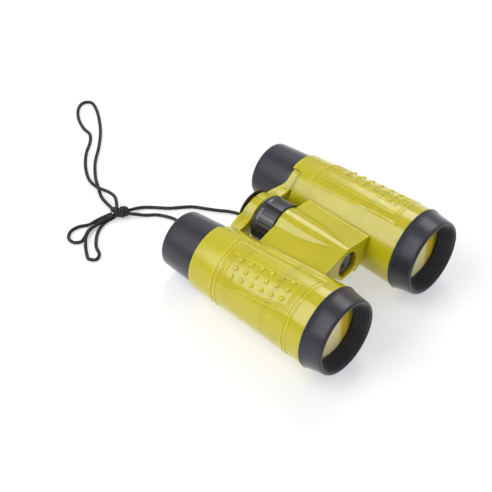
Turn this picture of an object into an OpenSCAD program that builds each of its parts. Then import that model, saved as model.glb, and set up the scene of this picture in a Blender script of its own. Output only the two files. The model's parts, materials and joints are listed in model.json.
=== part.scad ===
// Small folding toy binoculars with centre focusing and a cord strap.
// The optical axes run along Y, objectives at -Y. The pair lies on its front
// rings and on the rear rims of its barrels, so the axes dip slightly.

/* [Barrels] */
// distance between the two optical axes when fully open
axis_gap = 67; // [66:0.5:68]
// outer radius of a barrel behind its front ring
barrel_front_r = 21.2; // [21:0.1:21.3]
// outer radius of a barrel at its rear rim
barrel_rear_r = 17.7; // [17.6:0.1:18]
// distance of the rear rim from the front lip
barrel_rear_y = 84.3; // [83:0.1:86]
// radius of the guide bore that the eyepiece slides in
guide_r = 16.7; // [16.7:0.01:16.8]
// height of the grip bumps and ridges
relief = 0.9; // [0.6:0.1:1]

/* [Front rings and lenses] */
// radius of the band that the pair rests on
band_r = 21.6; // [21.5:0.1:22]
// length of a front ring
ring_len = 11.7; // [11.5:0.1:12]
// radius of the clear opening in front of the lens
aperture_r = 15; // [14:0.5:15.5]

/* [Eyepieces] */
// distance of the eyecup rims from the front lip
eye_end_y = 105.4; // [104:0.1:108]
// radius of an eyecup beside the barrel
cup_front_r = 16.4; // [16:0.1:16.4]
// radius of an eyecup at the eye
cup_rear_r = 15; // [14.5:0.1:15.5]

/* [Hinge and focus wheel] */
// height of the hinge above the optical axes
hinge_z = 5.6; // [5:0.1:6]
// radius of the focus wheel
wheel_r = 12.7; // [12:0.1:12.8]
// number of ribs around the wheel
ribs = 36; // [24:6:48]
// radius of the steel hinge pin
pin_r = 2.4; // [2.3:0.1:2.5]
// radius of the round cap behind the bridge
cap_r = 11.4; // [11.4:0.1:12.5]

/* [Strap] */
// diameter of the braided cord
cord_d = 1.8; // [1.6:0.1:1.9]

/* [Hidden] */
$fn = 96;

axis_x = axis_gap / 2;
run = 0.07;                 // radial clearance of a running fit
gap = 0.35;                 // clearance between parts that only pass each other
eps = 0.01;

// resting attitude: the band and the rear rims touch the surface
pitch = atan2(band_r - barrel_rear_r, barrel_rear_y - ring_len);
lift = band_r * cos(pitch) + ring_len * sin(pitch);
lip_face_r = 18.9;
rim_face_r = 14.4;
rear_reach = eye_end_y * cos(pitch) + rim_face_r * sin(pitch);
front_reach = -lip_face_r * sin(pitch);
shift_y = -(rear_reach + front_reach) / 2;

// stations along the optical axis
spigot_y = 8.8;
retainer_y = 12.2;
tube_front_y = 36;
guide_front_y = 62;
notch_y = 78;
arm_y = [80.1, 86.8];
screw_end_y = 87.6;
collar_y = [75.8, 81.8];
cup_front_y = 82.3;

// stations along the hinge
hood_y = [26.5, 65.8];
front_knuckle_y = [26.5, 36.3];
lug_y = [36.6, 55.6];
rear_knuckle_y = [55.9, 65.2];
cap_front_y = 28.7;
wheel_y = [66.2, 78.4];
knuckle_r = 8.6;
lug_r = 7.4;
socket_r = knuckle_r + gap;
open_r = 6.9;
screw_r = pin_r + 2;
hub_r = 8;                  // inner knuckle of each bridge arm
shell_r = 10.8;             // outer shell of the bridge arms
arm_split_y = 83.42;

spigot_r = 18.7;
lens_r = 16.8;
tube_r = 14;
tube_bore_r = 12.6;

// strap eye under the rear knuckle
eye_y = 60.4;
eye_z = -7.2;
eye_hole_r = 1.9;
eye_wall = 3.2;

// strap routes in the resting frame, millimetres
right_strand_route = [
    [0, 7.4, 11.8], [3.5, 8.4, 11.6], [6, 12, 11], [6.8, 18, 10], [7, 25, 9], [7, 32, 7.6],
    [7.4, 38.5, 5.2], [8.8, 44.5, 2.6], [10, 51, 1], [7.6, 57.5, 1], [4, 63, 1],
    [0.5, 69, 1], [-2.8, 74.6, 1], [-6.5, 78.4, 1], [-12, 83.5, 1], [-17, 90, 1],
    [-21.5, 94.6, 1.2], [-29.3, 97.4, 2.8]
];
left_strand_route = [
    [0, 7.4, 11.8], [-3.5, 8.4, 11.6], [-5.5, 12, 11], [-6, 18, 10], [-6, 25, 9],
    [-5.4, 32, 7.6], [-4.6, 38.5, 5.2], [-3.8, 45, 2.6], [-4.2, 51.5, 1], [-7, 58, 1],
    [-11, 65, 1], [-15, 72, 1], [-16.4, 78, 1], [-19.5, 84.5, 1], [-24, 89.3, 1],
    [-30.5, 96.4, 2.6]
];
long_loop_route = [
    [-32.4, 101, 3.4], [-26.5, 108.5, 2.9], [-25.6, 114, 2.8], [-27, 120.5, 2.9],
    [-26.3, 126.5, 2], [-23.5, 133, 1], [-18, 140.5, 1], [-11, 147, 1], [-4, 151.5, 1],
    [0.7, 156.5, 1], [2, 163, 1], [5.5, 170.5, 1], [11, 176.7, 1], [16.5, 178.7, 1],
    [20, 175.5, 1], [17.8, 169, 1], [12, 160.5, 1], [5, 152.5, 1], [-4, 144.7, 1],
    [-13, 138, 1], [-21, 129.5, 1], [-26, 122, 1], [-30, 115, 1], [-33.6, 102.4, 3.0]
];
side_loop_route = [
    [-36, 101.4, 3.1], [-40.5, 103, 2.85], [-44.5, 104.2, 2.5], [-48.5, 106.2, 1],
    [-53, 109, 1], [-58, 109.6, 1], [-62, 106.8, 1], [-62.3, 102.8, 1], [-59.3, 100.3, 1],
    [-55.5, 101.4, 1], [-51, 103.3, 1], [-46, 103, 1], [-35.4, 101.2, 1.2]
];
low_loop_route = [
    [-36, 100.2, 2.9], [-42, 101.5, 2.75], [-47, 102.3, 2.4], [-52, 101.9, 2.3],
    [-56.5, 99.7, 2.3], [-60.3, 96, 1.3], [-63.4, 92, 1], [-65.2, 88.6, 1], [-62.9, 85.5, 1],
    [-59.4, 86.9, 1], [-56.8, 91.8, 1], [-52.5, 96.2, 1], [-47.5, 99.4, 1],
    [-42, 100.9, 1], [-35.2, 100.2, 1]
];
knot_at = [-32.4, 99.2, 3.2];
knot_turn = -48;

function barrel_r(y) =
    barrel_front_r + (barrel_rear_r - barrel_front_r) * (y - ring_len) / (barrel_rear_y - ring_len);
function unit(v) = v / norm(v);
function arc(r, a0, a1, n, c = [0, 0]) =
    [for (i = [0:n]) let (a = a0 + (a1 - a0) * i / n) c + r * [cos(a), sin(a)]];
function tangent(p, i) = unit(p[min(i + 1, len(p) - 1)] - p[max(i - 1, 0)]);
function side_of(t) = unit(cross(t, [0, 0, 1]));
function ring_at(p, i, r, n) =
    let (t = tangent(p, i), s = side_of(t), u = cross(s, t))
    [for (k = [0:n - 1]) p[i] + r * (cos(360 * k / n) * s + sin(360 * k / n) * u)];

// from the optical frame to the resting frame
module resting() {
    translate([0, shift_y, lift])
        rotate([-pitch, 0, 0])
            children();
}

// a turned solid about the Y axis from [radius, y] points
module turned(points) {
    rotate([-90, 0, 0])
        rotate_extrude()
            polygon(points);
}

module tube(r, bore, y0, y1) {
    turned([[bore, y0], [r, y0], [r, y1], [bore, y1]]);
}

module rod(r, y0, y1) {
    translate([0, y0, 0])
        rotate([-90, 0, 0])
            cylinder(r = r, h = y1 - y0);
}

// an XZ outline extruded from y0 to y1
module slab(points, y0, y1) {
    translate([0, y1, 0])
        rotate([90, 0, 0])
            linear_extrude(y1 - y0)
                polygon(points);
}

module on_hinge() {
    translate([0, 0, hinge_z])
        children();
}

module on_barrel(side) {
    translate([side * axis_x, 0, 0])
        mirror([side > 0 ? 0 : 1, 0, 0])
            children();
}

module swept_cord(route) {
    sides = 8;
    last = len(route) - 1;
    rings = [for (i = [0:last]) ring_at(route, i, cord_d / 2, sides)];
    walls = [
        for (i = [0:last - 1], k = [0:sides - 1])
            let (a = i * sides, k2 = (k + 1) % sides)
            [a + k, a + sides + k, a + sides + k2, a + k2]
    ];
    front = [for (k = [0:sides - 1]) k];
    back = [for (k = [sides - 1:-1:0]) last * sides + k];
    polyhedron(points = [for (r = rings, p = r) p], faces = concat([front], walls, [back]));
}

// ---- barrels, drawn about their own axis with +X pointing outwards ----

module barrel_skin() {
    turned([
        [0, spigot_y], [spigot_r, spigot_y], [spigot_r, ring_len],
        [barrel_front_r, ring_len], [barrel_rear_r, barrel_rear_y - 0.3],
        [barrel_rear_r - 0.2, barrel_rear_y], [0, barrel_rear_y]
    ]);
}

module barrel_bore() {
    turned([
        [0, spigot_y - 1], [lens_r + 0.1, spigot_y - 1], [lens_r + 0.1, 14.5],
        [barrel_r(16) - 1.6, 16], [barrel_r(guide_front_y) - 1.6, guide_front_y - 1],
        [guide_r, guide_front_y], [guide_r, barrel_rear_y + 1], [0, barrel_rear_y + 1]
    ]);
}

// angle is measured from straight up towards the outside of the pair
module grip_dot(angle, y) {
    dot_r = 1.25;
    rotate([0, angle, 0])
        translate([0, y, barrel_r(y)])
            rotate_extrude($fn = 32)
                polygon([
                    [0, -0.8], [dot_r, -0.8], [dot_r, 0], [0.8 * dot_r, 0.6 * relief],
                    [0.45 * dot_r, 0.93 * relief], [0, relief]
                ]);
}

module ridge(y, from, to) {
    sweep = to - from;
    rotate([0, from - 90, 0])
        rotate([-90, 0, 0])
            rotate_extrude(angle = sweep)
                polygon([
                    [barrel_r(y) - 0.6, y - 0.7], [barrel_r(y) + 0.3, y - 0.35],
                    [barrel_r(y) + 0.3, y + 0.35], [barrel_r(y) - 0.6, y + 0.7]
                ]);
}

module grip_relief() {
    for (row = [0:2], i = [0:5]) {
        grip_dot(17.4 + 13.9 * row - 2.1 * i, 59.2 - 5.95 * i);
    }
    for (y = [64.6, 66.8, 69]) {
        ridge(y, -10, 118);
    }
    for (y = [20.8, 23, 25.2]) {
        ridge(y, -20, 118);
    }
}

module arm_notch() {
    intersection() {
        rod(barrel_front_r, notch_y, barrel_rear_y + 1);
        slab([[0, 0], 30 * [-sin(18.5), cos(18.5)], 30 * [-sin(74), cos(74)]],
            notch_y, barrel_rear_y + 1);
    }
}

// ---- front ring, lens and retainer, about the barrel axis ----

module front_ring_solid() {
    steps = 6;
    step_out = (17.6 - aperture_r) / steps;
    step_back = 1.05;
    stair = [
        for (i = [0:steps - 1]) each [
            [17.6 - step_out * i, 1.6 + step_back * i],
            [17.6 - step_out * (i + 1), 1.6 + step_back * i]
        ]
    ];
    turned(concat(
        [[18.3, 0], [lip_face_r, 0], [19.4, 0.5], [19.6, 1.4], [19.8, 3.2], [20.3, 6],
            [21, 9], [21.3, 10.4], [band_r, 10.6], [band_r, ring_len],
            [spigot_r + 0.05, ring_len], [spigot_r + 0.05, spigot_y - 0.1],
            [aperture_r, spigot_y - 0.1]],
        [for (i = [len(stair) - 1:-1:0]) stair[i]],
        [[17.8, 0.6]]
    ));
}

module objective_lens_solid() {
    front_bulge = 0.8;
    dome_r = (pow(aperture_r - 0.2, 2) + pow(front_bulge, 2)) / (2 * front_bulge);
    half = asin((aperture_r - 0.2) / dome_r);
    turned(concat(
        [for (a = [half:-half / 8:0])
            [dome_r * sin(a), spigot_y - front_bulge + dome_r * (1 - cos(a))]],
        [[0, 12.1], [lens_r, 12.1], [lens_r, spigot_y]]
    ));
}

module lens_retainer_solid() {
    tube(lens_r + 0.05, aperture_r + 0.2, retainer_y, retainer_y + 1.6);
}

// ---- eyepiece pieces, about the barrel axis ----

module eyepiece_tube_solid() {
    tube(tube_r, tube_bore_r, tube_front_y, 91.8);
}

module eyecup_solid() {
    turned([
        [tube_r + 0.03, cup_front_y], [cup_front_r, cup_front_y], [cup_front_r, 85],
        [cup_rear_r, eye_end_y - 0.9], [rim_face_r, eye_end_y], [13, eye_end_y],
        [12.4, eye_end_y - 0.6], [10.4, 98.4], [9.7, 98], [9.7, 94.2], [8.8, 94.2],
        [8.8, 92], [tube_r + 0.03, 92]
    ]);
}

module eye_lens_solid() {
    dish = 0.9;
    dish_r = (81 + pow(dish, 2)) / (2 * dish);
    half = asin(9 / dish_r);
    turned(concat(
        [[0, 95.2], [9, 94.3], [9.65, 94.3], [9.65, 97.4]],
        [for (a = [half:-half / 6:0]) [dish_r * sin(a), 97.4 - dish + dish_r * (1 - cos(a))]]
    ));
}

// ---- bridge arms, drawn for the left side about the hinge at x = 0 ----

// own_y is the stretch of the arm's own hub and far_y that of the other arm's
module arm_solid(own_y, far_y) {
    rise = -hinge_z;
    bar_top = 10.2 + rise;
    bar_low = 6.6 + rise;
    reach = axis_x - 9;
    difference() {
        union() {
            on_hinge() tube(hub_r, screw_r + run, own_y[0], own_y[1]);
            on_hinge()
                slab(concat(
                    [[-0.2, shell_r - 0.02]],
                    arc(shell_r, 93, 150, 10),
                    [[-12.2, 4.9], [-reach + 6, bar_top], [-reach, bar_top + 1.6],
                        [-reach - 1.5, bar_low + 1.4], [-reach + 2, bar_low],
                        [-9, bar_low - 1]],
                    arc(hub_r - 0.4, 170, 91, 12),
                    [[-0.2, hub_r - 0.4]]
                ), arm_y[0], own_y[0] > arm_y[0] ? own_y[1] : arm_y[1]);
            translate([-axis_x, 0, 0])
                intersection() {
                    tube(barrel_rear_r - 0.1, cup_front_r + 0.2, arm_y[0],
                        own_y[0] > arm_y[0] ? own_y[1] : arm_y[1]);
                    slab([[0, 0], 30 * [sin(20), cos(20)], 30 * [sin(55), cos(55)]],
                        arm_y[0], arm_y[1]);
                }
            translate([-axis_x, 0, 0])
                tube(guide_r - run, tube_r + 0.03, collar_y[0], collar_y[1]);
        }
        // room for the other arm's hub
        on_hinge() rod(hub_r + gap, far_y[0], far_y[1]);
        // room for the eyepiece tube, and for the eyecup behind the collar
        translate([-axis_x, 0, 0])
            rod(tube_r + 0.03, collar_y[0], arm_y[1] + 1);
        translate([-axis_x, 0, 0])
            rod(cup_front_r + 0.15, collar_y[1] + eps, arm_y[1] + 1);
        // the arm's foot may not touch the barrel's guide bore
        translate([-axis_x, 0, 0])
            tube(guide_r + 0.1, guide_r - run + eps, collar_y[0] - 1, arm_y[0] - eps);
    }
}

// ---- nodes ----

module left_barrel() {
    color("yellowgreen")
        resting()
            difference() {
                union() {
                    on_barrel(-1) barrel_skin();
                    on_barrel(-1) grip_relief();
                    hinge_housing();
                }
                on_barrel(-1) barrel_bore();
                on_barrel(-1) arm_notch();
            }
}

// hood, knuckles and strap eye, moulded on the left barrel
module hinge_housing() {
    hood_wall = 1.3;
    hood_top = [[-22, 11.3], [-3, 15.1], [0, 15.4], [3, 15.1], [20.5, 11.6]];
    difference() {
        union() {
            // roof-shaped hood, wide enough to meet the right barrel
            slab(concat(hood_top,
                [for (i = [len(hood_top) - 1:-1:0]) hood_top[i] - [0, hood_wall]]),
                hood_y[0], hood_y[1]);
            crest();
            on_hinge() rod(knuckle_r, front_knuckle_y[0], front_knuckle_y[1]);
            on_hinge() rod(knuckle_r, rear_knuckle_y[0], rear_knuckle_y[1]);
            // webs from the left barrel to the knuckles
            slab([[-18, 11.6], [-3, 14.6], [3, 14.6], [7.6, 13.6], [7.6, 7], [3.4, -2],
                [-4.5, -2], [-9.9, 3.9], [-14, 5]],
                front_knuckle_y[0], front_knuckle_y[0] + 2.4);
            slab([[-22, 11], [-3, 14.6], [0, 14.6], [0, 0], [-13, 0], [-22, 0]],
                rear_knuckle_y[1] - 2.4, rear_knuckle_y[1]);
            slab([[-22, 4.5], [0, 4.5], [0, 1.5], [-22, 1.5]],
                front_knuckle_y[0], front_knuckle_y[1]);
            slab([[-22, 4.5], [0, 4.5], [0, 1.5], [-22, 1.5]],
                rear_knuckle_y[0], rear_knuckle_y[1]);
            strap_eye();
        }
        // clearance along the right barrel, which swings down past the hood
        translate([axis_x, 0, 0])
            turned([[0, 10], [barrel_r(10) + gap, 10], [barrel_r(80) + gap, 80], [0, 80]]);
        // opening of the front knuckle and the bores for the pin
        on_hinge() rod(open_r, front_knuckle_y[0] - 1, 30.7);
        on_hinge() rod(pin_r + 0.02, front_knuckle_y[0], hood_y[1] + 1);
    }
}

// raised crest that tapers forward from the focus wheel
module crest() {
    front_y = 28.8;
    base_z = 13.6;
    edge = [[8, hood_y[1]], [7.6, 54], [6.3, 44.5], [4, 35], [1.5, front_y]];
    intersection() {
        on_hinge()
            translate([0, front_y, 0])
                rotate([-90, 0, 0])
                    cylinder(r1 = 9.9, r2 = 11.9, h = hood_y[1] - front_y);
        translate([0, 0, base_z])
            linear_extrude(8)
                polygon(concat(edge,
                    [for (i = [len(edge) - 1:-1:0]) [-edge[i][0], edge[i][1]]]));
    }
}

module strap_eye() {
    difference() {
        union() {
            translate([-1.5, eye_y, eye_z])
                rotate([0, 90, 0])
                    cylinder(r = eye_wall, h = 3);
            slab([[-1.5, eye_z], [1.5, eye_z], [1.5, 0], [-1.5, 0]],
                eye_y - eye_wall, eye_y + eye_wall);
        }
        translate([-2, eye_y, eye_z])
            rotate([0, 90, 0])
                cylinder(r = eye_hole_r, h = 4);
    }
}

module right_barrel() {
    color("yellowgreen")
        resting()
            difference() {
                union() {
                    on_barrel(1) barrel_skin();
                    on_barrel(1) grip_relief();
                    right_wing();
                }
                on_barrel(1) barrel_bore();
                on_barrel(1) arm_notch();
                on_hinge() rod(pin_r + run, lug_y[0] - 1, lug_y[1] + 1);
            }
}

// wing that wraps the front knuckle, and the lug on the hinge pin
module right_wing() {
    wing_y = [26.7, 55.6];
    difference() {
        slab([[5.3, -4], [12.4, -0.9], [17, 0], [17, 10.4], [10, 11.8], [8, 11.8], [4.5, 0],
            [4.5, -4]],
            wing_y[0], wing_y[0] + 2.2);
        on_hinge() rod(socket_r, wing_y[0] - 1, lug_y[0]);
    }
    slab([[2, 3], [16, 3], [16, 6], [2, 6]], lug_y[0], lug_y[1]);
    difference() {
        slab([[8, 3], [16, 3], [16, 6], [8, 6]], wing_y[0], lug_y[0] + 1);
        on_hinge() rod(socket_r, wing_y[0] - 1, lug_y[0]);
    }
    on_hinge() rod(lug_r, lug_y[0], lug_y[1]);
}

module left_front_ring() {
    color("dimgray") resting() on_barrel(-1) front_ring_solid();
}

module right_front_ring() {
    color("dimgray") resting() on_barrel(1) front_ring_solid();
}

module left_objective_lens() {
    color("lightyellow") resting() on_barrel(-1) objective_lens_solid();
}

module right_objective_lens() {
    color("lightyellow") resting() on_barrel(1) objective_lens_solid();
}

module left_lens_retainer() {
    color("yellowgreen") resting() on_barrel(-1) lens_retainer_solid();
}

module right_lens_retainer() {
    color("yellowgreen") resting() on_barrel(1) lens_retainer_solid();
}

module hinge_pin() {
    color("silver") resting() on_hinge() rod(pin_r, 30.6, 87.2);
}

module pin_front_cap() {
    color("black") resting() on_hinge() turned([
        [0, cap_front_y], [open_r - 0.6, cap_front_y], [open_r - 0.02, cap_front_y + 0.4],
        [open_r - 0.02, 30.5], [0, 30.5]
    ]);
}

module wheel_washer() {
    color("silver") resting() on_hinge() tube(6, pin_r + run, 65.4, 65.9);
}

module focus_wheel() {
    rib_depth = 0.7;
    outline = [
        for (i = [0:ribs - 1], s = [[0, 1], [0.5, 1], [0.62, 0], [0.88, 0]])
            let (a = 360 * (i + s[0]) / ribs, r = wheel_r - 0.1 - rib_depth * (1 - s[1]))
            r * [cos(a), sin(a)]
    ];
    ribbed_end = 74.8;
    color("black") resting() on_hinge() difference() {
        union() {
            slab(outline, wheel_y[0], ribbed_end + eps);
            turned([
                [0, ribbed_end], [wheel_r, ribbed_end], [wheel_r, wheel_y[1] - 1.2],
                [wheel_r - 1, wheel_y[1]], [0, wheel_y[1]]
            ]);
        }
        tube(wheel_r - 2.2, screw_r + 2.6, 76.6, wheel_y[1] + 1);
        rod(screw_r + 0.02, wheel_y[0] - 1, wheel_y[1] + 1);
    }
}

module focus_screw() {
    thread_pitch = 1.2;
    thread_y = 79.2;
    turns = 7;
    grooves = [
        for (i = [0:turns - 1]) each [
            [screw_r, thread_y + i * thread_pitch],
            [screw_r - 0.35, thread_y + (i + 0.3) * thread_pitch],
            [screw_r - 0.35, thread_y + (i + 0.5) * thread_pitch],
            [screw_r, thread_y + (i + 0.8) * thread_pitch]
        ]
    ];
    color("black") resting() on_hinge() turned(concat(
        [[pin_r + run, wheel_y[0]], [screw_r, wheel_y[0]]],
        grooves,
        [[screw_r, screw_end_y], [pin_r + run, screw_end_y]]
    ));
}

module left_arm() {
    color("yellowgreen") resting()
        arm_solid([arm_y[0], arm_split_y - 0.08], [arm_split_y, arm_y[1] + 1]);
}

module right_arm() {
    color("yellowgreen") resting() mirror([1, 0, 0])
        arm_solid([arm_split_y + 0.08, arm_y[1] - 0.25], [arm_y[0] - 1, arm_split_y]);
}

module left_eyepiece_tube() {
    color("dimgray") resting() on_barrel(-1) eyepiece_tube_solid();
}

module right_eyepiece_tube() {
    color("dimgray") resting() on_barrel(1) eyepiece_tube_solid();
}

module left_eyecup() {
    color("dimgray") resting() on_barrel(-1) eyecup_solid();
}

module right_eyecup() {
    color("dimgray") resting() on_barrel(1) eyecup_solid();
}

module left_eye_lens() {
    color("lightyellow") resting() on_barrel(-1) eye_lens_solid();
}

module right_eye_lens() {
    color("lightyellow") resting() on_barrel(1) eye_lens_solid();
}

module bridge_cap() {
    color("black") resting() on_hinge() turned([
        [screw_r + 0.4, arm_y[1]], [cap_r - 0.2, arm_y[1]], [cap_r, arm_y[1] + 0.2],
        [cap_r, arm_y[1] + 0.5], [cap_r - 1.4, arm_y[1] + 1.5], [cap_r - 3.2, arm_y[1] + 2.3],
        [5, arm_y[1] + 3.3], [0, arm_y[1] + 3.6], [0, arm_y[1] + 2.6],
        [screw_r + 0.4, arm_y[1] + 2.6]
    ]);
}

module strap_right_strand() {
    color("black") swept_cord(right_strand_route);
}

module strap_left_strand() {
    color("black") swept_cord(left_strand_route);
}

module strap_long_loop() {
    color("black") swept_cord(long_loop_route);
}

module strap_side_loop() {
    color("black") swept_cord(side_loop_route);
}

module strap_low_loop() {
    color("black") swept_cord(low_loop_route);
}

module strap_knot() {
    color("black")
        translate(knot_at)
            rotate([0, 0, knot_turn])
                rotate([0, 90, 0])
                    rotate_extrude($fn = 32)
                        polygon([
                            [0, -5], [2, -4.6], [3.1, -2.8], [3.1, 2.8], [2, 4.6], [0, 5]
                        ]);
}

left_barrel();
left_front_ring();
left_objective_lens();
left_lens_retainer();
hinge_pin();
pin_front_cap();
wheel_washer();
right_barrel();
right_front_ring();
right_objective_lens();
right_lens_retainer();
focus_wheel();
focus_screw();
left_arm();
left_eyepiece_tube();
left_eyecup();
left_eye_lens();
bridge_cap();
right_arm();
right_eyepiece_tube();
right_eyecup();
right_eye_lens();
strap_right_strand();
strap_left_strand();
strap_knot();
strap_long_loop();
strap_side_loop();
strap_low_loop();
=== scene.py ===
"""Looks of the small folding toy binoculars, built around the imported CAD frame.

Shapes are written in millimetres in the optical frame: y runs along the barrels from the front
lips, z is height above the optical axes, x is to the right. row() turns them into the resting
frame in metres.
"""

import json
import math

import bmesh
import bpy
import numpy as np
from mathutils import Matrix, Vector
from mathutils.geometry import tessellate_polygon


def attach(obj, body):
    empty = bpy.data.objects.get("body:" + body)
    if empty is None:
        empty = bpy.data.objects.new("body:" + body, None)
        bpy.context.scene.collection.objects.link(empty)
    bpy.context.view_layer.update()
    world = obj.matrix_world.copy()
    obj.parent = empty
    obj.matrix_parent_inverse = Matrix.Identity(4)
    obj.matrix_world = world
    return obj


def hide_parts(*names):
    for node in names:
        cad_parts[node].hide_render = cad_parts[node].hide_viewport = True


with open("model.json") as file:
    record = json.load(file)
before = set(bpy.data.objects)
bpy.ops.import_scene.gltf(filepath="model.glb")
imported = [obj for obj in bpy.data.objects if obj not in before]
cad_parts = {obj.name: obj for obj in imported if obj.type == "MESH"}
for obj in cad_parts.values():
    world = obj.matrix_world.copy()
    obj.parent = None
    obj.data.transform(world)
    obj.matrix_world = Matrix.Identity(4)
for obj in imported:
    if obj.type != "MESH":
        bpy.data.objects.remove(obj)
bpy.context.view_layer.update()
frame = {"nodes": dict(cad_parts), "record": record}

# ---------------------------------------------------------------- frame and sizes
MM = 0.001
AXIS_X = 33.5                                   # barrel axes, left and right of the middle
HINGE_Z = 5.6                                   # hinge axis over the barrel axes
BAND_R, REAR_R, FRONT_R = 21.6, 17.7, 21.2      # ring's widest band, barrel's rear and front
RING_LEN, REAR_Y = 11.7, 84.3                   # rear of the front ring, rear of the barrel
END_Y, RIM_FACE_R, LIP_FACE_R = 105.4, 14.4, 18.9   # eyecup's end, flat of its rim, ring's lip
HALVES = {-1: "left", 1: "right"}
# the pair lies on its ring bands and rear rims, so the optical frame is tipped and lifted
PITCH = math.atan2(BAND_R - REAR_R, REAR_Y - RING_LEN)
LIFT = BAND_R * math.cos(PITCH) + RING_LEN * math.sin(PITCH)
SHIFT_Y = -(END_Y * math.cos(PITCH) + (RIM_FACE_R - LIP_FACE_R) * math.sin(PITCH)) / 2


def row(points):
    """Optical frame in millimetres to the resting frame in metres."""
    p = np.asarray(points, float)
    c, s = math.cos(PITCH), math.sin(PITCH)
    out = np.stack([p[..., 0], p[..., 1] * c + p[..., 2] * s + SHIFT_Y,
                    -p[..., 1] * s + p[..., 2] * c + LIFT], axis=-1)
    return out * MM


def barrel_r(y):
    """Radius of the barrel's cone."""
    return FRONT_R + (REAR_R - FRONT_R) * (y - RING_LEN) / (REAR_Y - RING_LEN)


# ---------------------------------------------------------------- materials
class Nodes:
    """A material's node tree with short calls to add and join nodes."""

    def __init__(self, name):
        self.mat = bpy.data.materials.new(name)
        self.mat.use_nodes = True
        self.tree = self.mat.node_tree
        self.shader = self.tree.nodes["Principled BSDF"]
        self.coords = self.tree.nodes.new("ShaderNodeTexCoord").outputs["Object"]

    def add(self, kind, inputs=None, **settings):
        """A node of a kind; its inputs are sockets to join or plain values."""
        n = self.tree.nodes.new(kind)
        for k, v in settings.items():
            setattr(n, k, v)
        for k, v in (inputs or {}).items():
            if isinstance(v, bpy.types.NodeSocket):
                self.tree.links.new(v, n.inputs[k])
            else:
                n.inputs[k].default_value = v
        return n

    def noise(self, scale, detail=3.0, rough=0.5, coords=None):
        """Noise over the object's coordinates, or others, as a value from 0 to 1."""
        return self.add("ShaderNodeTexNoise", {"Vector": coords or self.coords, "Scale": scale,
                                               "Detail": detail, "Roughness": rough}).outputs["Fac"]

    def ramp(self, fac, stops):
        """A colour from a value, through stops of (place, colour) in rising order."""
        n = self.add("ShaderNodeValToRGB", {"Fac": fac})
        e = n.color_ramp.elements
        e[0].position, e[1].position = stops[0][0], stops[-1][0]
        for at, _ in stops[1:-1]:
            e.new(at)
        for item, (_, colour) in zip(e, stops):
            item.color = colour if len(colour) == 4 else (*colour, 1)
        return n.outputs["Color"]

    def math(self, op, a, b=None, clamp=False):
        """A sum with sockets or numbers, held between 0 and 1 if clamp is set."""
        ins = {0: a} if b is None else {0: a, 1: b}
        return self.add("ShaderNodeMath", ins, operation=op, use_clamp=clamp).outputs[0]

    def mix(self, fac, a, b):
        """Colour a turned into colour b by fac; each may be a socket or a value."""
        n = self.add("ShaderNodeMix", data_type="RGBA")
        for k, v in ((0, fac), (6, a), (7, b)):
            if isinstance(v, bpy.types.NodeSocket):
                self.tree.links.new(v, n.inputs[k])
            else:
                n.inputs[k].default_value = v if k == 0 or len(v) == 4 else (*v, 1)
        return n.outputs[2]

    def bump(self, height, strength, distance):
        """A normal from a height; the distance is in metres."""
        return self.add("ShaderNodeBump", {"Height": height, "Strength": strength,
                                           "Distance": distance}).outputs["Normal"]

    def link(self, socket, name):
        """Joins a socket to an input of the shader."""
        self.tree.links.new(socket, self.shader.inputs[name])

    def set(self, **values):
        """Plain values on the shader's inputs, with _ for the blanks in their names."""
        for k, v in values.items():
            self.shader.inputs[k.replace("_", " ")].default_value = v


def barrel_plastic():
    """Glossy translucent yellow-green plastic with faint flow streaks along the barrels, and
    painted shade in bands where inner parts show through.
    """
    m = Nodes("barrel_plastic")
    cloud = m.noise(38.0, 3.0, 0.55)
    flow = m.add("ShaderNodeMapping", {"Vector": m.coords, "Scale": (140.0, 18.0, 140.0)})
    streak = m.noise(1.0, 2.0, 0.5, flow.outputs[0])
    tone = m.ramp(cloud, [(0.3, (0.485, 0.422, 0.007)), (0.7, (0.545, 0.478, 0.010))])
    tone = m.mix(m.math("MULTIPLY", streak, 0.18), tone, (0.60, 0.54, 0.03))
    # painted shade of the parts inside the barrels, seen faintly through the wall: place on y and
    # half width, in metres
    place = m.add("ShaderNodeSeparateXYZ", {"Vector": m.coords})
    x, y = m.math("ABSOLUTE", place.outputs[0]), place.outputs[1]
    ribs = None
    for at, half in ((-0.0165, 0.0022), (0.0068, 0.0012)):
        near = m.math("SUBTRACT", half, m.math("ABSOLUTE", m.math("SUBTRACT", y, at)))
        band = m.math("MULTIPLY", near, 900.0, clamp=True)
        ribs = band if ribs is None else m.math("ADD", ribs, band, clamp=True)
    barrels = m.math("MULTIPLY", m.math("SUBTRACT", x, 0.020), 400.0, clamp=True)
    ribs = m.math("MULTIPLY", m.math("MULTIPLY", ribs, barrels), 0.14)
    # painted shade: the barrels' colour darkened in these bands
    m.link(m.mix(ribs, tone, (0.24, 0.20, 0.02)), "Base Color")
    wear = m.noise(260.0, 4.0, 0.6)
    m.link(m.math("ADD", m.math("MULTIPLY", wear, 0.09), 0.11), "Roughness")
    m.link(m.bump(m.noise(75.0, 1.0, 0.3), 0.08, 0.0005), "Normal")
    m.set(Subsurface_Weight=1.0, Subsurface_Scale=0.0045, IOR=1.50)
    m.set(Coat_Weight=0.18, Coat_Roughness=0.05)
    m.shader.inputs["Subsurface Radius"].default_value = (1.0, 0.85, 0.10)
    return m.mat


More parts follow.
